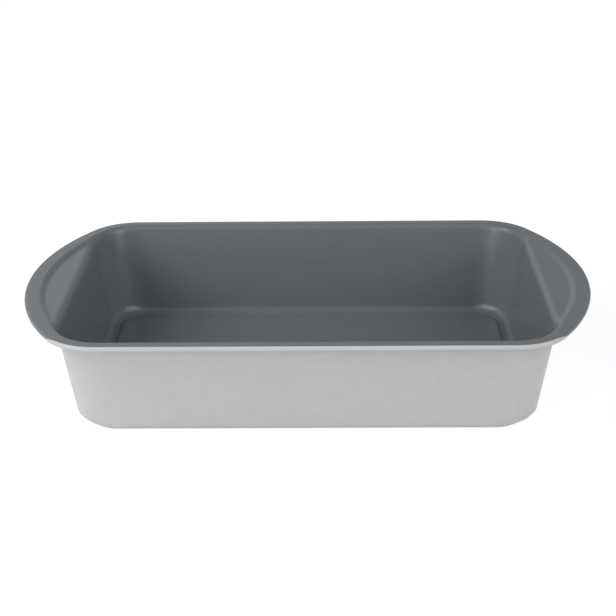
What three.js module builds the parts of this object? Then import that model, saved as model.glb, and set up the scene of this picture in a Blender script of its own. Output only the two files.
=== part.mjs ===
import * as THREE from 'three';

// Deep rectangular baking pan in millimetres: length along X, width along Y, standing on Z = 0.
// A drawn sheet body carries a dark lining inside, a pale coat outside and a wire in its rolled edge.

// Wall opening and floor
const OPENING_LENGTH = 324.6; // between the end walls at rim height
const OPENING_WIDTH = 219.8; // between the side walls at rim height
const OPENING_CORNER = 33; // plan radius of the wall corners at rim height
const BASE_CORNER = 27; // plan radius of the wall corners carried down to the floor
const HEIGHT = 68.6; // rim top above the surface the pan stands on
const WALL_DRAFT = 8.7; // degrees each wall leans outwards
const FLOOR_FILLET = 4.6; // bend from floor to wall along the straight walls, on the lined face
const CORNER_FILLET = 9; // the same in the middle of the corners
const CORNER_BLEND = 36; // degrees at each end of a corner in which the bend and the ring change
const GUTTER = 2.6; // flat ring the pan stands on, between bend and floor panel, along the straight walls
const CORNER_GUTTER = 0.2; // the same in the middle of the corners
const PANEL_STEP = 2.4; // run of the step up to the floor panel
const PANEL_RISE = 0.8; // floor panel above the flat ring

// Flange and handles
const RIM_BEND = 5.5; // bend from wall to flange, on the lined face
const SIDE_RIM = 10.1; // flange beside the long walls
const HANDLE_REACH = 33.1; // flange at the middle of each end
const HANDLE_BOW = 188; // plan radius of a handle's outer edge
const HANDLE_SHOULDER = 40; // plan radius between handle edge and long side
const BORDER = 9.4; // border around the sunk panel of a handle
const SINK_RUN = 5.5; // run of the step down to the sunk panel
const SINK_DEPTH = 2.2; // sunk panel below the border
const LEAST_SHELF = 0.1; // least share of a flange before its step
const LEAST_STEP = 0.3; // least share of the rest that the step takes

// Rolled edge
const CURL_RADIUS = 1.8; // outside of the roll
const CURL_END = 305; // degrees from the crest to the cut edge of the sheet
const SEAM_AT = 280; // degrees from the crest to where the coat leaves the roll
const SEAM_RUN = 0.4; // coat across the seam, measured along the flange
const SIDE_LINING = 18; // degrees from the crest to the edge of the lining on the long sides
const HANDLE_LINING = 100; // the same on the handles
const WRAP_START = 50; // the edge's direction, in degrees from the length, where the lining starts to reach on
const WRAP_END = 25; // the direction where it reaches as far as on the handles
const WIRE_DIAMETER = 1.4;

// Thicknesses
const SHEET = 0.6;
const LINING = 0.12;
const COAT = 0.12;

// Finishes
const STEEL_FINISH = { color: 0x8d9195, roughness: 0.4, metalness: 1 };
const LINING_FINISH = { color: 0x45484e, roughness: 0.5, metalness: 0 };
const COAT_FINISH = { color: 0xb7b7bb, roughness: 0.6, metalness: 0 };
const WIRE_FINISH = { color: 0x9a9da0, roughness: 0.35, metalness: 1 };

// Facets in a quarter of the outline and along the profile
const END_FACETS = 5;
const CORNER_FACETS = 8;
const SIDE_FACETS = 1;
const FILLET_FACETS = 4;
const BEND_FACETS = 3;
const STEP_FACETS = 3;
const WRAP_FACETS = 3;
const CURL_FACETS = 7;
const WIRE_FACETS = 8;

// Rounds of the searches for a distance from the outer edge and for the top of the wall
const EDGE_ROUNDS = 60;
const WALL_ROUNDS = 12;

const DEG = Math.PI / 180;
const HALF_LENGTH = OPENING_LENGTH / 2;
const HALF_WIDTH = OPENING_WIDTH / 2;
const RIM_X = HALF_LENGTH + HANDLE_REACH;
const RIM_Y = HALF_WIDTH + SIDE_RIM;
const FLOOR_Z = LINING + SHEET + COAT;
const UP = new THREE.Vector3(0, 0, 1);

// Per unit of depth below the rim: loss of corner radius, and inward travel of a corner's centre
const DEPTH = HEIGHT - FLOOR_Z;
const PINCH = (OPENING_CORNER - BASE_CORNER) / DEPTH;
const TRAVEL = Math.tan(WALL_DRAFT * DEG) - PINCH;

// Outer edge in plan: straight side, shoulder arc and handle arc, each tangent to the next
const BOW_X = RIM_X - HANDLE_BOW;
const SHOULDER_Y = RIM_Y - HANDLE_SHOULDER;
const SHOULDER_X = BOW_X + Math.sqrt((HANDLE_BOW - HANDLE_SHOULDER) ** 2 - SHOULDER_Y ** 2);
const BOW_ANGLE = Math.atan2(SHOULDER_Y, SHOULDER_X - BOW_X);

// Distance of a plan point inside the outer edge, with the edge's outward direction there
function edgeAt(x, y) {
  const ax = Math.abs(x);
  const ay = Math.abs(y);
  const out = new THREE.Vector3(0, 1, 0);
  let inside = RIM_Y - ay;
  if (Math.atan2(ay, ax - BOW_X) <= BOW_ANGLE) {
    out.set(ax - BOW_X, ay, 0);
    inside = HANDLE_BOW - out.length();
  } else if (ax > SHOULDER_X) {
    out.set(ax - SHOULDER_X, ay - SHOULDER_Y, 0);
    inside = HANDLE_SHOULDER - out.length();
  }
  out.normalize();
  out.x *= x < 0 ? -1 : 1;
  out.y *= y < 0 ? -1 : 1;
  return { inside, out };
}

// Stations around the wall opening, counter-clockwise from the middle of the +X end.
// The wall runs inwards by lean and sideways by slide for each unit of depth.
// Cornering grows from 0 along the straight walls to 1 in the middle of a corner.
function stations() {
  const quarter = [];
  const straightY = HALF_WIDTH - OPENING_CORNER;
  const straightX = HALF_LENGTH - OPENING_CORNER;
  for (let i = 0; i < END_FACETS; i += 1) {
    const share = i / END_FACETS;
    quarter.push([HALF_LENGTH, straightY * share, 0, 0, -TRAVEL * share]);
  }
  for (let i = 0; i <= CORNER_FACETS; i += 1) {
    const turn = (i / CORNER_FACETS) * 90 * DEG;
    const [c, s] = [Math.cos(turn), Math.sin(turn)];
    const side = TRAVEL * (c - s);
    quarter.push([straightX + OPENING_CORNER * c, straightY + OPENING_CORNER * s, turn, side * s, -side * c]);
  }
  for (let i = 1; i <= SIDE_FACETS; i += 1) {
    const share = 1 - i / SIDE_FACETS;
    quarter.push([straightX * share, HALF_WIDTH, 90 * DEG, -TRAVEL * share, 0]);
  }
  const back = quarter.slice().reverse();
  const loop = [];
  const add = (list, sx, sy) => {
    for (const [x, y, turn, slideX, slideY] of list.slice(0, -1)) {
      const at = new THREE.Vector3(sx * x, sy * y, 0);
      const out = new THREE.Vector3(sx * Math.cos(turn), sy * Math.sin(turn), 0);
      const lean = TRAVEL * (Math.cos(turn) + Math.sin(turn)) + PINCH;
      const slide = new THREE.Vector3(sx * slideX, sy * slideY, 0);
      const cornering = ramp(Math.min(turn, 90 * DEG - turn) / (CORNER_BLEND * DEG));
      loop.push({ at, out, lean, slide, cornering });
    }
  };
  add(quarter, 1, 1);
  add(back, -1, 1);
  add(quarter, -1, -1);
  add(back, 1, -1);
  return loop;
}

// Rounded step from 0 to 1 and its slope
function ramp(t) {
  const u = Math.min(Math.max(t, 0), 1);
  return (1 - Math.cos(Math.PI * u)) / 2;
}

function rampSlope(t) {
  return t <= 0 || t >= 1 ? 0 : (Math.PI / 2) * Math.sin(Math.PI * t);
}

// Points of the lined face for one station, from the floor panel's edge to the cut edge of the roll
function faceProfile(station) {
  const points = [];
  const draft = Math.atan(station.lean);
  const wallTurn = 90 * DEG - draft;
  const onRay = (s) => station.at.clone().addScaledVector(station.out, s);
  const insideAt = (s) => {
    const p = onRay(s);
    return edgeAt(p.x, p.y).inside;
  };
  const push = (s, z, slopeAngle, depth = 0) => {
    const p = onRay(s).addScaledVector(station.slide, depth);
    p.z = z;
    const n = station.out.clone().multiplyScalar(-Math.sin(slopeAngle));
    n.z = Math.cos(slopeAngle);
    points.push({ p, n, out: station.out });
  };
  // offset along the ray at which the outer edge is a given distance away
  const rayTo = (distance) => {
    let near = -OPENING_CORNER;
    let far = 2 * (HANDLE_REACH + SIDE_RIM);
    for (let i = 0; i < EDGE_ROUNDS; i += 1) {
      const mid = (near + far) / 2;
      if (insideAt(mid) > distance) near = mid;
      else far = mid;
    }
    return (near + far) / 2;
  };
  const flangeZ = (s) => HEIGHT - SINK_DEPTH * ramp((insideAt(s) - BORDER) / SINK_RUN);

  // floor panel, step, flat ring and bend to the wall
  const fillet = FLOOR_FILLET + (CORNER_FILLET - FLOOR_FILLET) * station.cornering;
  const gutter = GUTTER + (CORNER_GUTTER - GUTTER) * station.cornering;
  const filletStart = -DEPTH * station.lean - fillet * Math.tan(wallTurn / 2);
  const filletDepth = DEPTH - fillet * (1 - Math.cos(wallTurn));
  const stepFoot = filletStart - gutter;
  const stepSlope = Math.atan(-PANEL_RISE / PANEL_STEP);
  push(stepFoot - PANEL_STEP, FLOOR_Z + PANEL_RISE, 0, filletDepth);
  push(stepFoot - PANEL_STEP / 2, FLOOR_Z + PANEL_RISE / 2, stepSlope, filletDepth);
  push(stepFoot, FLOOR_Z, 0, filletDepth);
  for (let i = 0; i <= FILLET_FACETS; i += 1) {
    const turn = (wallTurn * i) / FILLET_FACETS;
    const s = filletStart + fillet * Math.sin(turn);
    push(s, FLOOR_Z + fillet * (1 - Math.cos(turn)), turn, filletDepth);
  }

  // where the wall would meet the flange without the bend
  let corner = 0;
  for (let i = 0; i < WALL_ROUNDS; i += 1) corner = (flangeZ(corner) - HEIGHT) * station.lean;
  const cornerZ = flangeZ(corner);
  const crest = rayTo(CURL_RADIUS);
  const seam = rayTo(2 * CURL_RADIUS + SEAM_RUN);
  const reach = Math.min(RIM_BEND * Math.tan(wallTurn / 2), (seam - corner) / 2);
  const flat = corner + reach;
  const low = Math.max(rayTo(BORDER + SINK_RUN), flat + (seam - flat) * LEAST_SHELF);
  const high = Math.max(rayTo(BORDER), low + (seam - low) * LEAST_STEP);

  // bend from wall to flange, an arc touching both
  const from = [corner - reach * Math.sin(draft), cornerZ - reach * Math.cos(draft)];
  const to = [flat, flangeZ(flat)];
  const endTurn = Math.atan2(to[1] - cornerZ, to[0] - corner);
  const weight = Math.cos((wallTurn - endTurn) / 2);
  for (let i = 0; i <= BEND_FACETS; i += 1) {
    const t = i / BEND_FACETS;
    const a = (1 - t) ** 2;
    const b = 2 * weight * t * (1 - t);
    const c = t * t;
    const s = (a * from[0] + b * corner + c * to[0]) / (a + b + c);
    const z = (a * from[1] + b * cornerZ + c * to[1]) / (a + b + c);
    push(s, z, wallTurn + (endTurn - wallTurn) * t, Math.max(cornerZ - z, 0));
  }

  // sunk panel, step up, border
  for (let i = 0; i <= STEP_FACETS; i += 1) {
    const s = low + ((high - low) * i) / STEP_FACETS;
    const p = onRay(s);
    const { inside, out } = edgeAt(p.x, p.y);
    const rise = (SINK_DEPTH / SINK_RUN) * rampSlope((inside - BORDER) / SINK_RUN);
    p.z = flangeZ(s);
    const n = out.clone().multiplyScalar(-rise).add(UP).normalize();
    points.push({ p, n, out });
  }
  push(seam, HEIGHT, 0);

  // rolled edge about the wire
  const centre = onRay(crest);
  const { out } = edgeAt(centre.x, centre.y);
  centre.z = HEIGHT - CURL_RADIUS;
  const heading = Math.atan2(Math.abs(out.y), Math.abs(out.x)) / DEG;
  const wrap = ramp((WRAP_START - heading) / (WRAP_START - WRAP_END));
  const liningEnd = SIDE_LINING + (HANDLE_LINING - SIDE_LINING) * wrap;
  const turns = [];
  for (let i = 0; i < WRAP_FACETS; i += 1) turns.push((liningEnd * i) / WRAP_FACETS);
  for (let i = 0; i <= CURL_FACETS; i += 1) {
    turns.push(liningEnd + ((SEAM_AT - liningEnd) * i) / CURL_FACETS);
  }
  turns.push(CURL_END);
  for (const turn of turns) {
    const n = out.clone().multiplyScalar(Math.sin(turn * DEG));
    n.addScaledVector(UP, Math.cos(turn * DEG));
    points.push({ p: centre.clone().addScaledVector(n, CURL_RADIUS), n, out });
  }
  return { points, centre, out };
}

const PROFILES = stations().map(faceProfile);
const POINTS = PROFILES[0].points.length;
const CUT = POINTS - 1;
const SEAM_TURN = POINTS - 2;
const LINING_EDGE = SEAM_TURN - CURL_FACETS;
const SEAM_FOOT = LINING_EDGE - WRAP_FACETS - 1;

// One ring of points at a depth below the lined face; ring -1 is the middle of the floor
function ring(index, depth) {
  if (index < 0) {
    return [new THREE.Vector3(0, 0, FLOOR_Z + PANEL_RISE - depth)];
  }
  return PROFILES.map(({ points }) => {
    const { p, n } = points[index];
    return p.clone().addScaledVector(n, -depth);
  });
}

function rings(first, last, depth) {
  const list = [];
  const way = last < first ? -1 : 1;
  for (let i = first; i !== last + way; i += way) list.push(ring(i, depth));
  return list;
}

function solid(name, vertices, triangles, finish) {
  const geometry = new THREE.BufferGeometry();
  const flatList = vertices.flatMap((v) => [v.x, v.y, v.z]);
  geometry.setAttribute('position', new THREE.Float32BufferAttribute(flatList, 3));
  geometry.setIndex(triangles);
  geometry.computeVertexNormals();
  const material = new THREE.MeshStandardMaterial(finish);
  material.name = `${name}_finish`;
  const mesh = new THREE.Mesh(geometry, material);
  mesh.name = name;
  return mesh;
}

// Closed skin between two faces, each a list of rings from the middle of the floor outwards.
// From the ring numbered turned on, the rings run back along the roll, and so do the facets' diagonals.
function skin(name, upper, lower, turned, finish) {
  const vertices = [];
  const triangles = [];
  const number = (list) => list.map((points) => points.map((p) => vertices.push(p) - 1));
  const top = number(upper);
  const bottom = number(lower);
  const count = PROFILES.length;
  const face = (grid, flip) => {
    const tri = (a, b, c) => triangles.push(a, flip ? c : b, flip ? b : c);
    for (let j = 0; j < count; j += 1) {
      const k = (j + 1) % count;
      tri(grid[0][0], grid[1][j], grid[1][k]);
      for (let i = 1; i + 1 < grid.length; i += 1) {
        const [a, b, c, d] = [grid[i][j], grid[i + 1][j], grid[i + 1][k], grid[i][k]];
        if (i < turned) {
          tri(a, b, c);
          tri(a, c, d);
        } else {
          tri(a, b, d);
          tri(d, b, c);
        }
      }
    }
  };
  face(top, false);
  face(bottom, true);
  const edge = top[top.length - 1];
  const foot = bottom[bottom.length - 1];
  for (let j = 0; j < count; j += 1) {
    const k = (j + 1) % count;
    if (turned < upper.length) {
      triangles.push(edge[j], foot[j], edge[k]);
      triangles.push(edge[k], foot[j], foot[k]);
    } else {
      triangles.push(edge[j], foot[j], foot[k]);
      triangles.push(edge[j], foot[k], edge[k]);
    }
  }
  return solid(name, vertices, triangles, finish);
}

function liningSolid() {
  const upper = rings(-1, LINING_EDGE, 0);
  const lower = rings(-1, LINING_EDGE, LINING);
  return skin('nonstick_lining', upper, lower, upper.length, LINING_FINISH);
}

function bodySolid() {
  const upper = rings(-1, CUT, LINING);
  const lower = rings(-1, CUT, LINING + SHEET);
  return skin('sheet_body', upper, lower, upper.length, STEEL_FINISH);
}

// The coat follows the underside to the seam and then the outside of the roll up to the lining
function coatSolid() {
  const under = LINING + SHEET;
  const inner = [...rings(-1, SEAM_FOOT, under), ...rings(SEAM_TURN, LINING_EDGE, LINING)];
  const flangeSide = rings(-1, SEAM_FOOT, under + COAT);
  const lean = Math.tan((90 * DEG - Math.atan(SEAM_RUN / CURL_RADIUS)) / 2);
  flangeSide[flangeSide.length - 1].forEach((p, j) => p.addScaledVector(PROFILES[j].out, -COAT * lean));
  const outer = [...flangeSide, ...rings(SEAM_TURN, LINING_EDGE, LINING - COAT)];
  return skin('outer_coat', inner, outer, flangeSide.length, COAT_FINISH);
}

function wireSolid() {
  const vertices = [];
  const triangles = [];
  for (const { centre, out } of PROFILES) {
    for (let i = 0; i < WIRE_FACETS; i += 1) {
      const turn = ((i + 0.5) / WIRE_FACETS) * 360 * DEG;
      const p = centre.clone().addScaledVector(out, (WIRE_DIAMETER / 2) * Math.cos(turn));
      vertices.push(p.addScaledVector(UP, (WIRE_DIAMETER / 2) * Math.sin(turn)));
    }
  }
  for (let j = 0; j < PROFILES.length; j += 1) {
    const k = (j + 1) % PROFILES.length;
    for (let i = 0; i < WIRE_FACETS; i += 1) {
      const m = (i + 1) % WIRE_FACETS;
      const a = j * WIRE_FACETS + i;
      const b = k * WIRE_FACETS + i;
      const c = k * WIRE_FACETS + m;
      const d = j * WIRE_FACETS + m;
      triangles.push(a, b, c, a, c, d);
    }
  }
  return solid('rim_wire', vertices, triangles, WIRE_FINISH);
}

const pan = new THREE.Group();
pan.name = 'baking_pan';
pan.add(bodySolid(), liningSolid(), coatSolid(), wireSolid());

export default pan;
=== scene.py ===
import math

import bpy
from mathutils import Matrix, Vector


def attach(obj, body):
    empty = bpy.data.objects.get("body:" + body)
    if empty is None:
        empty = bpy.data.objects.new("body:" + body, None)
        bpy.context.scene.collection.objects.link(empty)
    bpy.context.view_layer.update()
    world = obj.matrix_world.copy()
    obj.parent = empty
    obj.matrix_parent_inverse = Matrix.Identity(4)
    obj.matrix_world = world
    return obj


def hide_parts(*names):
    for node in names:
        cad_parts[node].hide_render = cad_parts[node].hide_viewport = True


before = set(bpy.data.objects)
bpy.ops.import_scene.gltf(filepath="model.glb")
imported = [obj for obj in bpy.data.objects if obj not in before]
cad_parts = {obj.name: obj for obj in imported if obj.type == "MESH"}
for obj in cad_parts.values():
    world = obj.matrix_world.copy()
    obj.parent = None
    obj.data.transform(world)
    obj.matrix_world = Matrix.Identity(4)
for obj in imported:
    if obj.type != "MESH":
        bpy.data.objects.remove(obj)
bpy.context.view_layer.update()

# Sizes in millimetres, as in the part's source; meshes are scaled to metres at the end
MM = 0.001

# Wall opening and floor
OPENING_LENGTH = 324.6  # between the end walls at rim height
OPENING_WIDTH = 219.8  # between the side walls at rim height
OPENING_CORNER = 33  # plan radius of the wall corners at rim height
BASE_CORNER = 27  # plan radius of the wall corners carried down to the floor
HEIGHT = 68.6  # rim top above the surface the pan stands on
WALL_DRAFT = 8.7  # degrees each wall leans outwards
FLOOR_FILLET = 4.6  # bend from floor to wall along the straight walls, on the lined face
CORNER_FILLET = 9  # the same in the middle of the corners
CORNER_BLEND = 36  # degrees at each end of a corner in which the bend and the ring change
GUTTER = 2.6  # flat ring between the bend and the floor panel along the straight walls
CORNER_GUTTER = 0.2  # the same in the middle of the corners
PANEL_STEP = 2.4  # run of the step up to the floor panel
PANEL_RISE = 0.8  # floor panel above the flat ring

# Flange and handles
RIM_BEND = 5.5  # bend from wall to flange, on the lined face
SIDE_RIM = 10.1  # flange beside the long walls
HANDLE_REACH = 33.1  # flange at the middle of each end
HANDLE_BOW = 188  # plan radius of a handle's outer edge
HANDLE_SHOULDER = 40  # plan radius between handle edge and long side
BORDER = 9.4  # border around the sunk panel of a handle
SINK_RUN = 5.5  # run of the step down to the sunk panel
SINK_DEPTH = 2.2  # sunk panel below the border
LEAST_SHELF = 0.1  # least share of a flange before its step
LEAST_STEP = 0.3  # least share of the rest that the step takes

# Rolled edge
CURL_RADIUS = 1.8  # outside of the roll
CURL_END = 305  # degrees from the crest to the cut edge of the sheet
SEAM_AT = 280  # degrees from the crest to where the coat leaves the roll
SEAM_RUN = 0.4  # coat across the seam, measured along the flange
SIDE_LINING = 18  # degrees from the crest to the edge of the lining on the long sides
HANDLE_LINING = 100  # the same on the handles
WRAP_START = 50  # degrees from the length to the edge's outward direction where it starts to grow
WRAP_END = 25  # the same where it is as on the handles
WIRE_DIAMETER = 1.4

# Thicknesses
SHEET = 0.6
LINING = 0.12
COAT = 0.12

# Steps in a quarter of the outline and along the profile
END_STEPS = 24
CORNER_STEPS = 32
SIDE_STEPS = 16
PANEL_STEPS = 10
FILLET_STEPS = 16
WALL_STEPS = 8
BEND_STEPS = 10
SHELF_STEPS = 4
SINK_STEPS = 12
WRAP_STEPS = 12
CURL_STEPS = 28
WIRE_STEPS = 16
SUPPORT = 1.5  # distance from a bend at which a flat stretch gets its own ring
RAY_ROUNDS = 60  # halvings in the search for the outer edge
WALL_ROUNDS = 12  # rounds in the search for the top of the wall
SHARP_ANGLE = 40  # degrees between faces from which an edge is shaded as sharp

HALF_LENGTH = OPENING_LENGTH / 2
HALF_WIDTH = OPENING_WIDTH / 2
RIM_X = HALF_LENGTH + HANDLE_REACH
RIM_Y = HALF_WIDTH + SIDE_RIM
FLOOR_Z = LINING + SHEET + COAT
DEPTH = HEIGHT - FLOOR_Z
PINCH = (OPENING_CORNER - BASE_CORNER) / DEPTH
TRAVEL = math.tan(math.radians(WALL_DRAFT)) - PINCH
UP = Vector((0, 0, 1))

# Outer edge in plan: straight side, shoulder arc and handle arc, each tangent to the next
BOW_X = RIM_X - HANDLE_BOW
SHOULDER_Y = RIM_Y - HANDLE_SHOULDER
SHOULDER_X = BOW_X + math.sqrt((HANDLE_BOW - HANDLE_SHOULDER) ** 2 - SHOULDER_Y**2)
BOW_ANGLE = math.atan2(SHOULDER_Y, SHOULDER_X - BOW_X)

# Coats and steel: linear colours, ranges of roughness, and noise scales per metre
LINING_TONES = (0.142, 0.153, 0.165), (0.15, 0.161, 0.173)
LINING_ROUGHNESS = 0.26, 0.32
LINING_SPECULAR = 0.35
LINING_BUMP = 0.06
COAT_TONES = (0.474, 0.474, 0.476), (0.498, 0.498, 0.5)
COAT_ROUGHNESS = 0.4, 0.46
COAT_SPECULAR = 0.2
COAT_BUMP = 0.05
STEEL_TONES = (0.42, 0.43, 0.44), (0.58, 0.59, 0.6)
STEEL_ROUGHNESS = 0.3, 0.45
NOISE_SPAN = 0.3, 0.7  # stretch of a noise over which a tone or a roughness changes
CLOUD_SCALE = 90
SPECKLE_SCALE = 1400
PEEL_SCALE = 420
STREAK_SCALE = 20, 900, 900
PEEL_DEPTH = 0.0002  # metres
SPECKLE_DEPTH = 0.00005

# Camera about the middle of the rim plane, in millimetres and degrees
CAMERA_DISTANCE = 980
CAMERA_AZIMUTH = 1.0
CAMERA_ELEVATION = 21.34
CAMERA_ROLL = -0.66
CAMERA_AIM = (0.2, 0, -23.84)
CAMERA_LENS = 81.69
CAMERA_CLIP = 10

# Floor and surround, with lengths in metres
FLOOR_SIZE = 12
FLOOR_BOUNCE = 0.8  # grey of the floor for the light that it throws on the pan
FLOOR_SHADED = 0.3  # grey of the floor as seen, which takes the pan's shadow
FLOOR_GLOW = 0.83, 1  # what is added to that near the pan and far from it
FLOOR_GLOW_SPAN = 0.3, 0.9  # distances between which it changes
AMBIENT = 0.2  # even light from all sides
SURROUND_SIDES = 0.7, 0.35  # surround in gloss, on the left and on the right
SURROUND_SIDE_SPAN = -0.2, 0.2  # x of the direction between which it changes
SURROUND_TOP = 0.1  # the same overhead
SURROUND_TOP_SPAN = 0.5, 0.75  # z of the direction between which it changes

# Softboxes, in metres
LIGHT_DISTANCE = 1.6
WIDE_BOX = 0.9, 0.9
STANDING_BOX = 0.6, 0.8


def edge_at(point):
    """Distance of a plan point inside the outer edge, and the edge's outward direction there."""
    ax, ay = abs(point.x), abs(point.y)
    out = Vector((0, 1, 0))
    inside = RIM_Y - ay
    if math.atan2(ay, ax - BOW_X) <= BOW_ANGLE:
        out = Vector((ax - BOW_X, ay, 0))
        inside = HANDLE_BOW - out.length
    elif ax > SHOULDER_X:
        out = Vector((ax - SHOULDER_X, ay - SHOULDER_Y, 0))
        inside = HANDLE_SHOULDER - out.length
    out.normalize()
    out.x = math.copysign(out.x, point.x) if out.x else 0
    out.y = math.copysign(out.y, point.y) if out.y else 0
    return inside, out


def ramp(t):
    """Rounded step from 0 to 1."""
    return (1 - math.cos(math.pi * min(max(t, 0), 1))) / 2


def ramp_slope(t):
    """Slope of the rounded step."""
    return math.pi / 2 * math.sin(math.pi * t) if 0 < t < 1 else 0


def spread(first, last, steps):
    """Evenly spaced values from first to last, both included."""
    return [first + (last - first) * i / steps for i in range(steps + 1)]


def stations():
    """Places round the wall opening, counter-clockwise from the middle of the +X end.

    Each is a point, its outward direction, the lean and the slide of the wall, and its cornering.
    The wall runs inwards by lean and sideways by slide for each unit of depth. Cornering runs from
    0 along the straight walls to 1 in the middle of each corner.
    """
    straight_x = HALF_LENGTH - OPENING_CORNER
    straight_y = HALF_WIDTH - OPENING_CORNER
    quarter = []
    for i in range(END_STEPS):
        share = i / END_STEPS
        quarter.append((HALF_LENGTH, straight_y * share, 0, 0, -TRAVEL * share))
    for i in range(CORNER_STEPS + 1):
        turn = math.radians(90) * i / CORNER_STEPS
        c, s = math.cos(turn), math.sin(turn)
        side = TRAVEL * (c - s)
        x = straight_x + OPENING_CORNER * c
        y = straight_y + OPENING_CORNER * s
        quarter.append((x, y, turn, side * s, -side * c))
    for i in range(1, SIDE_STEPS + 1):
        share = 1 - i / SIDE_STEPS
        quarter.append((straight_x * share, HALF_WIDTH, math.radians(90), -TRAVEL * share, 0))
    loop = []
    for points, sx, sy in (
        (quarter, 1, 1),
        (quarter[::-1], -1, 1),
        (quarter, -1, -1),
        (quarter[::-1], 1, -1),
    ):
        for x, y, turn, slide_x, slide_y in points[:-1]:
            c, s = math.cos(turn), math.sin(turn)
            at = Vector((sx * x, sy * y, 0))
            out = Vector((sx * c, sy * s, 0))
            slide = Vector((sx * slide_x, sy * slide_y, 0))
            cornering = ramp(min(turn, math.radians(90) - turn) / math.radians(CORNER_BLEND))
            loop.append((at, out, TRAVEL * (c + s) + PINCH, slide, cornering))
    return loop


def face_profile(station):
    """The lined face at one station, from the floor panel to the cut edge of the roll.

    Gives its points with their normals, the middle of the roll and the roll's outward direction.
    """
    at, station_out, lean, slide, cornering = station
    draft = math.atan(lean)
    wall_turn = math.radians(90) - draft
    points = []

    def on_ray(s):
        return at + station_out * s

    def push(s, z, slope, depth=0):
        p = on_ray(s) + slide * depth
        p.z = z
        points.append((p, UP * math.cos(slope) - station_out * math.sin(slope)))

    def ray_to(distance):
        """Offset along the ray at which the outer edge is this far away."""
        near, far = -OPENING_CORNER, 2 * (HANDLE_REACH + SIDE_RIM)
        for _ in range(RAY_ROUNDS):
            middle = (near + far) / 2
            if edge_at(on_ray(middle))[0] > distance:
                near = middle
            else:
                far = middle
        return (near + far) / 2

    def flange_z(s):
        return HEIGHT - SINK_DEPTH * ramp((edge_at(on_ray(s))[0] - BORDER) / SINK_RUN)

    # floor panel, rounded step, flat ring and bend to the wall
    fillet = FLOOR_FILLET + (CORNER_FILLET - FLOOR_FILLET) * cornering
    fillet_start = -DEPTH * lean - fillet * math.tan(wall_turn / 2)
    fillet_depth = DEPTH - fillet * (1 - math.cos(wall_turn))
    gutter = GUTTER + (CORNER_GUTTER - GUTTER) * cornering
    step_foot = fillet_start - gutter
    push(step_foot - PANEL_STEP - SUPPORT, FLOOR_Z + PANEL_RISE, 0, fillet_depth)
    for t in spread(1, 0, PANEL_STEPS):
        slope = math.atan(-PANEL_RISE / PANEL_STEP * ramp_slope(t))
        push(step_foot - PANEL_STEP * t, FLOOR_Z + PANEL_RISE * ramp(t), slope, fillet_depth)
    for turn in spread(0, wall_turn, FILLET_STEPS):
        s = fillet_start + fillet * math.sin(turn)
        push(s, FLOOR_Z + fillet * (1 - math.cos(turn)), turn, fillet_depth)

    # where the wall would meet the flange without the bend
    corner = 0
    for _ in range(WALL_ROUNDS):
        corner = (flange_z(corner) - HEIGHT) * lean
    corner_z = flange_z(corner)
    crest = ray_to(CURL_RADIUS)
    seam = ray_to(2 * CURL_RADIUS + SEAM_RUN)
    reach = min(RIM_BEND * math.tan(wall_turn / 2), (seam - corner) / 2)
    flat = corner + reach
    low = max(ray_to(BORDER + SINK_RUN), flat + (seam - flat) * LEAST_SHELF)
    high = max(ray_to(BORDER), low + (seam - low) * LEAST_STEP)

    # flat wall
    start = corner - reach * math.sin(draft), corner_z - reach * math.cos(draft)
    foot_s, foot_z = fillet_start + fillet * math.sin(wall_turn), HEIGHT - fillet_depth
    length = math.hypot(start[0] - foot_s, start[1] - foot_z)
    for t in spread(SUPPORT / length, 1 - SUPPORT / length, WALL_STEPS):
        z = foot_z + (start[1] - foot_z) * t
        push(foot_s + (start[0] - foot_s) * t, z, wall_turn, corner_z - z)

    # bend from wall to flange, an arc touching both
    end = flat, flange_z(flat)
    end_turn = math.atan2(end[1] - corner_z, end[0] - corner)
    weight = math.cos((wall_turn - end_turn) / 2)
    for t in spread(0, 1, BEND_STEPS):
        a, b, c = (1 - t) ** 2, 2 * weight * t * (1 - t), t * t
        s = (a * start[0] + b * corner + c * end[0]) / (a + b + c)
        z = (a * start[1] + b * corner_z + c * end[1]) / (a + b + c)
        push(s, z, wall_turn + (end_turn - wall_turn) * t, max(corner_z - z, 0))

    # sunk panel, rounded step up, border
    for s in spread(flat, low, SHELF_STEPS)[1:-1] + spread(low, high, SINK_STEPS):
        p = on_ray(s)
        inside, out = edge_at(p)
        rise = SINK_DEPTH / SINK_RUN * ramp_slope((inside - BORDER) / SINK_RUN)
        p.z = flange_z(s)
        points.append((p, (UP - out * rise).normalized()))
    push(seam, HEIGHT, 0)

    # rolled edge about the wire
    centre = on_ray(crest)
    out = edge_at(centre)[1]
    centre.z = HEIGHT - CURL_RADIUS
    heading = math.degrees(math.atan2(abs(out.y), abs(out.x)))
    wrap = ramp((WRAP_START - heading) / (WRAP_START - WRAP_END))
    lining_end = SIDE_LINING + (HANDLE_LINING - SIDE_LINING) * wrap
    turns = spread(0, lining_end, WRAP_STEPS)[:-1] + spread(lining_end, SEAM_AT, CURL_STEPS)
    for turn in [*turns, CURL_END]:
        n = out * math.sin(math.radians(turn)) + UP * math.cos(math.radians(turn))
        points.append((centre + n * CURL_RADIUS, n))
    return points, centre, out


PROFILES = [face_profile(station) for station in stations()]

# Numbers of some points along the profile
CUT = len(PROFILES[0][0]) - 1
SEAM_TURN = CUT - 1
LINING_EDGE = SEAM_TURN - CURL_STEPS
SEAM_FOOT = LINING_EDGE - WRAP_STEPS - 1


def ring(index, depth):
    """One ring of points at a depth below the lined face."""
    return [points[index][0] - points[index][1] * depth for points, _, _ in PROFILES]


def rings(first, last, depth):
    """Rings from the first number to the last one, which may be the lower."""
    way = -1 if last < first else 1
    return [ring(i, depth) for i in range(first, last + way, way)]


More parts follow.
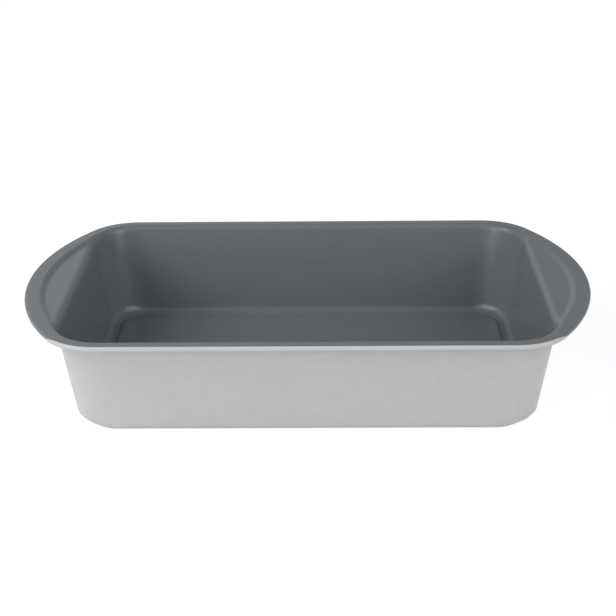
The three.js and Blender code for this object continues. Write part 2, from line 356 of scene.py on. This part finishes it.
def piece(name, vertices, faces, material):
    """A smooth mesh object that stands for the CAD node of the same name, which it hides, and hangs
    under the root body.
    """
    mesh = bpy.data.meshes.new(name)
    mesh.from_pydata([v * MM for v in vertices], [], faces)
    mesh.validate()
    mesh.shade_smooth()
    mesh.set_sharp_from_angle(angle=math.radians(SHARP_ANGLE))
    mesh.materials.append(material)
    obj = bpy.data.objects.new(f"{name}_look", mesh)
    bpy.context.scene.collection.objects.link(obj)
    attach(obj, "root")
    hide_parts(name)


def skin(name, upper, lower, material):
    """Closed skin between two faces, each a list of rings from the floor panel outwards."""
    count = len(PROFILES)
    vertices = [p for face in (upper, lower) for points in face for p in points]
    faces = []
    below = len(upper) * count
    for base, rows, flip in ((0, len(upper), False), (below, len(lower), True)):
        panel = [base + j for j in range(count)]
        faces.append(panel[::-1] if flip else panel)
        for i in range(rows - 1):
            for j in range(count):
                k = (j + 1) % count
                a, d = base + i * count + j, base + i * count + k
                quad = (a, a + count, d + count, d)
                faces.append(quad[::-1] if flip else quad)
    edge, foot = below - count, len(vertices) - count
    for j in range(count):
        k = (j + 1) % count
        faces.append((edge + j, foot + j, foot + k, edge + k))
    piece(name, vertices, faces, material)


def make_lining(material):
    upper = rings(0, LINING_EDGE, 0)
    lower = rings(0, LINING_EDGE, LINING)
    skin("nonstick_lining", upper, lower, material)


def make_body(material):
    upper = rings(0, CUT, LINING)
    lower = rings(0, CUT, LINING + SHEET)
    skin("sheet_body", upper, lower, material)


def make_coat(material):
    """The coat follows the underside to the seam, then the outside of the roll up to the lining."""
    under = LINING + SHEET
    inner = rings(0, SEAM_FOOT, under) + rings(SEAM_TURN, LINING_EDGE, LINING)
    flange_side = rings(0, SEAM_FOOT, under + COAT)
    lean = math.tan((math.radians(90) - math.atan(SEAM_RUN / CURL_RADIUS)) / 2)
    flange_side[-1] = [
        p - out * COAT * lean for p, (_, _, out) in zip(flange_side[-1], PROFILES)
    ]
    outer = flange_side + rings(SEAM_TURN, LINING_EDGE, LINING - COAT)
    skin("outer_coat", inner, outer, material)


def make_wire(material):
    """Closed round wire in the middle of the roll."""
    radius = WIRE_DIAMETER / 2
    vertices = []
    faces = []
    for _, centre, out in PROFILES:
        for i in range(WIRE_STEPS):
            turn = math.tau * (i + 0.5) / WIRE_STEPS
            vertices.append(centre + (out * math.cos(turn) + UP * math.sin(turn)) * radius)
    for j in range(len(PROFILES)):
        k = (j + 1) % len(PROFILES)
        for i in range(WIRE_STEPS):
            m = (i + 1) % WIRE_STEPS
            a, b = j * WIRE_STEPS, k * WIRE_STEPS
            faces.append((a + i, b + i, b + m, a + m))
    piece("rim_wire", vertices, faces, material)


def material_nodes(name):
    material = bpy.data.materials.new(name)
    material.use_nodes = True
    tree = material.node_tree
    return material, tree, tree.nodes["Principled BSDF"]


def noise(tree, vector, scale, detail, roughness=0.5):
    node = tree.nodes.new("ShaderNodeTexNoise")
    node.inputs["Scale"].default_value = scale
    node.inputs["Detail"].default_value = detail
    node.inputs["Roughness"].default_value = roughness
    tree.links.new(vector, node.inputs["Vector"])
    return node.outputs["Fac"]


def tone(tree, fac, tones):
    """Colour that runs from the first tone to the second with a noise."""
    node = tree.nodes.new("ShaderNodeValToRGB")
    for element, position, colour in zip(node.color_ramp.elements, NOISE_SPAN, tones):
        element.position = position
        element.color = (*colour, 1)
    tree.links.new(fac, node.inputs["Fac"])
    return node.outputs["Color"]


def value_range(tree, value, low, high, span=NOISE_SPAN):
    """Value that runs from low to high while another one runs through a span."""
    node = tree.nodes.new("ShaderNodeMapRange")
    node.inputs["From Min"].default_value = span[0]
    node.inputs["From Max"].default_value = span[1]
    node.inputs["To Min"].default_value = low
    node.inputs["To Max"].default_value = high
    tree.links.new(value, node.inputs["Value"])
    return node.outputs["Result"]


def larger(tree, first, second):
    node = tree.nodes.new("ShaderNodeMath")
    node.operation = "MAXIMUM"
    tree.links.new(first, node.inputs[0])
    tree.links.new(second, node.inputs[1])
    return node.outputs["Value"]


def bump(tree, height, strength, distance, normal=None):
    node = tree.nodes.new("ShaderNodeBump")
    node.inputs["Strength"].default_value = strength
    node.inputs["Distance"].default_value = distance
    tree.links.new(height, node.inputs["Height"])
    if normal:
        tree.links.new(normal, node.inputs["Normal"])
    return node.outputs["Normal"]


def coat_material(name, tones, roughness, specular, bump_strength):
    """Sprayed satin coat: cloudy tone, a fine speckle in gloss and a faint orange-peel surface."""
    material, tree, shader = material_nodes(name)
    place = tree.nodes.new("ShaderNodeTexCoord").outputs["Object"]
    cloud = noise(tree, place, CLOUD_SCALE, detail=6, roughness=0.6)
    tree.links.new(tone(tree, cloud, tones), shader.inputs["Base Color"])
    shader.inputs["Specular IOR Level"].default_value = specular
    speckle = noise(tree, place, SPECKLE_SCALE, detail=3)
    tree.links.new(value_range(tree, speckle, *roughness), shader.inputs["Roughness"])
    waves = noise(tree, place, PEEL_SCALE, detail=2)
    peel = bump(tree, waves, bump_strength, PEEL_DEPTH)
    grain = bump(tree, speckle, bump_strength, SPECKLE_DEPTH, peel)
    tree.links.new(grain, shader.inputs["Normal"])
    return material


def steel_material(name):
    """Bare steel with fine rolling streaks along the length."""
    material, tree, shader = material_nodes(name)
    shader.inputs["Metallic"].default_value = 1
    place = tree.nodes.new("ShaderNodeTexCoord").outputs["Object"]
    stretch = tree.nodes.new("ShaderNodeMapping")
    stretch.inputs["Scale"].default_value = STREAK_SCALE
    tree.links.new(place, stretch.inputs["Vector"])
    streak = noise(tree, stretch.outputs["Vector"], 1, detail=4)
    tree.links.new(tone(tree, streak, STEEL_TONES), shader.inputs["Base Color"])
    tree.links.new(value_range(tree, streak, *STEEL_ROUGHNESS), shader.inputs["Roughness"])
    return material


def show(tree, lighting, shown, output):
    """One shader for the rays that light the pan and another for those that show the background.

    The background shows to the camera, and in gloss or glass.
    """
    path = tree.nodes.new("ShaderNodeLightPath")
    seen = path.outputs["Is Camera Ray"]
    for name in ("Is Glossy Ray", "Is Transmission Ray"):
        seen = larger(tree, seen, path.outputs[name])
    mix = tree.nodes.new("ShaderNodeMixShader")
    tree.links.new(seen, mix.inputs["Fac"])
    tree.links.new(lighting.outputs[0], mix.inputs[1])
    tree.links.new(shown.outputs[0], mix.inputs[2])
    tree.links.new(mix.outputs[0], output.inputs["Surface"])


def make_floor():
    """Pale floor that looks white apart from the pan's shadow."""
    bpy.ops.mesh.primitive_plane_add(size=FLOOR_SIZE)
    floor = bpy.context.object
    floor.name = "floor"
    material, tree, shader = material_nodes("pale_floor")
    tree.nodes.remove(shader)
    bounce = tree.nodes.new("ShaderNodeBsdfDiffuse")
    bounce.inputs["Color"].default_value = (FLOOR_BOUNCE, FLOOR_BOUNCE, FLOOR_BOUNCE, 1)
    shaded = tree.nodes.new("ShaderNodeBsdfDiffuse")
    shaded.inputs["Color"].default_value = (FLOOR_SHADED, FLOOR_SHADED, FLOOR_SHADED, 1)
    glow = tree.nodes.new("ShaderNodeEmission")
    distance = tree.nodes.new("ShaderNodeVectorMath")
    distance.operation = "LENGTH"
    place = tree.nodes.new("ShaderNodeTexCoord").outputs["Object"]
    tree.links.new(place, distance.inputs[0])
    lift = value_range(tree, distance.outputs["Value"], *FLOOR_GLOW, FLOOR_GLOW_SPAN)
    tree.links.new(lift, glow.inputs["Strength"])
    white = tree.nodes.new("ShaderNodeAddShader")
    tree.links.new(shaded.outputs[0], white.inputs[0])
    tree.links.new(glow.outputs[0], white.inputs[1])
    show(tree, bounce, white, tree.nodes["Material Output"])
    floor.data.materials.append(material)


def make_world():
    """White to the camera, dimmer in gloss on the right and overhead, and a faint even light."""
    world = bpy.data.worlds.new("studio")
    bpy.context.scene.world = world
    world.use_nodes = True
    tree = world.node_tree
    sky = tree.nodes["Background"]
    sky.inputs["Color"].default_value = (1, 1, 1, 1)
    sky.inputs["Strength"].default_value = AMBIENT
    white = tree.nodes.new("ShaderNodeBackground")
    white.inputs["Color"].default_value = (1, 1, 1, 1)
    split = tree.nodes.new("ShaderNodeSeparateXYZ")
    direction = tree.nodes.new("ShaderNodeTexCoord").outputs["Generated"]
    tree.links.new(direction, split.inputs[0])
    sides = value_range(tree, split.outputs["X"], *SURROUND_SIDES, SURROUND_SIDE_SPAN)
    gloss = value_range(tree, split.outputs["Z"], 0, SURROUND_TOP, SURROUND_TOP_SPAN)
    tree.links.new(sides, gloss.node.inputs["To Min"])
    path = tree.nodes.new("ShaderNodeLightPath")
    strength = larger(tree, path.outputs["Is Camera Ray"], gloss)
    tree.links.new(strength, white.inputs["Strength"])
    show(tree, sky, white, tree.nodes["World Output"])


def toward(azimuth, elevation):
    """Direction from the pan, with the azimuth counted from the front side towards +X."""
    az, el = math.radians(azimuth), math.radians(elevation)
    return Vector((math.sin(az) * math.cos(el), -math.cos(az) * math.cos(el), math.sin(el)))


def softbox(name, size, azimuth, elevation, watts):
    """Area light that faces the pan."""
    data = bpy.data.lights.new(name, "AREA")
    data.shape = "RECTANGLE"
    data.size, data.size_y = size
    data.energy = watts
    light = bpy.data.objects.new(name, data)
    back = toward(azimuth, elevation)
    light.location = Vector((0, 0, HEIGHT * MM / 2)) + back * LIGHT_DISTANCE
    light.rotation_euler = (-back).to_track_quat("-Z", "Y").to_euler()
    light.visible_camera = False
    bpy.context.scene.collection.objects.link(light)


def make_camera():
    """Camera that looks at a point near the middle of the rim, tilted by its roll."""
    roll = math.radians(CAMERA_ROLL)
    rim_middle = Vector((0, 0, HEIGHT))
    place = rim_middle + toward(CAMERA_AZIMUTH, CAMERA_ELEVATION) * CAMERA_DISTANCE
    forward = (rim_middle + Vector(CAMERA_AIM) - place).normalized()
    right = forward.cross(UP).normalized()
    up = right.cross(forward)
    tilted_right = right * math.cos(roll) + up * math.sin(roll)
    tilted_up = up * math.cos(roll) - right * math.sin(roll)
    data = bpy.data.cameras.new("camera")
    data.lens = CAMERA_LENS
    data.clip_start = CAMERA_CLIP * MM
    camera = bpy.data.objects.new("camera", data)
    axes = Matrix((tilted_right, tilted_up, -forward)).transposed()
    camera.matrix_world = Matrix.Translation(place * MM) @ axes.to_4x4()
    bpy.context.scene.collection.objects.link(camera)
    bpy.context.scene.camera = camera


make_camera()
make_lining(
    coat_material("dark_lining", LINING_TONES, LINING_ROUGHNESS, LINING_SPECULAR, LINING_BUMP)
)
make_coat(coat_material("pale_coat", COAT_TONES, COAT_ROUGHNESS, COAT_SPECULAR, COAT_BUMP))
make_body(steel_material("drawn_steel"))
make_wire(steel_material("wire_steel"))

make_floor()
make_world()
softbox("key", WIDE_BOX, azimuth=285, elevation=40, watts=13.4)
softbox("fill", WIDE_BOX, azimuth=60, elevation=40, watts=7.4)
softbox("left_stand", STANDING_BOX, azimuth=322, elevation=13, watts=10.2)
softbox("right_stand", STANDING_BOX, azimuth=55, elevation=13, watts=6.5)

bpy.context.scene.view_settings.view_transform = "Standard"
